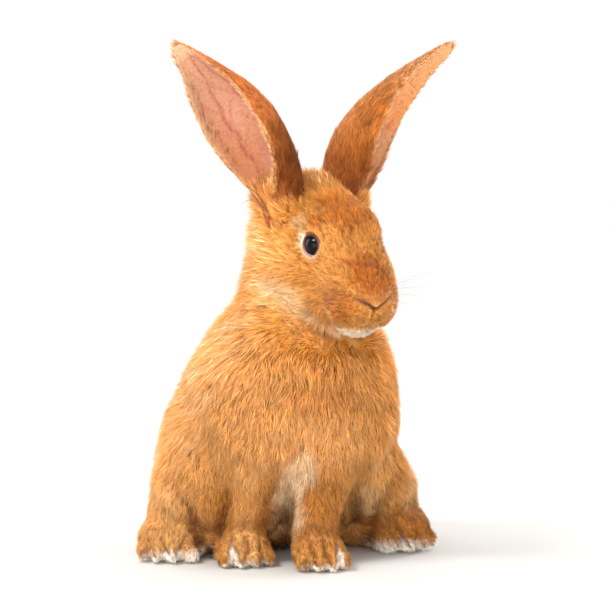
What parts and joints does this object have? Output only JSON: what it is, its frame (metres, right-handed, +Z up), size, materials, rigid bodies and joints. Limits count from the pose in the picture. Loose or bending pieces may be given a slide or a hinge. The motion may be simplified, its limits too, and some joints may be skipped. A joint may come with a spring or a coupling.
{
  "type": "rabbit",
  "caption": "Life-size domestic rabbit sitting up alert with its forelegs straight, ears up and head turned, as a still museum model.",
  "frame": {"origin": "middle of the bounding box in x and y, at the floor that the paws rest on", "axes": "+Z up, the body faces -Y, its left side is +X"},
  "size_m": [0.2094, 0.2256, 0.3329],
  "materials": {
    "coat": "short dense ginger fur, matte",
    "ear": "thin skin with very short fur outside, bare and pink inside",
    "eye": "wet, glossy, dark brown",
    "claw": "horn, satin"
  },
  "bodies": {
    "root": {"head": "coat", "neck": "coat", "tail": "coat", "forepaw_left": "coat", "foreleg_left": "coat", "hindfoot_left": "coat", "thigh_left": "coat", "forepaw_right": "coat", "foreleg_right": "coat", "hindfoot_right": "coat", "thigh_right": "coat", "torso": "coat", "claw_forepaw_left_1": "claw", "claw_forepaw_left_2": "claw", "claw_forepaw_left_3": "claw", "claw_forepaw_left_4": "claw", "claw_hindfoot_left_1": "claw", "claw_hindfoot_left_2": "claw", "claw_hindfoot_left_3": "claw", "claw_hindfoot_left_4": "claw", "claw_forepaw_right_1": "claw", "claw_forepaw_right_2": "claw", "claw_forepaw_right_3": "claw", "claw_forepaw_right_4": "claw", "claw_hindfoot_right_1": "claw", "claw_hindfoot_right_2": "claw", "claw_hindfoot_right_3": "claw", "claw_hindfoot_right_4": "claw", "eye_left": "eye", "eye_right": "eye", "ear_left": "ear", "ear_right": "ear"}
  },
  "joints": []
}
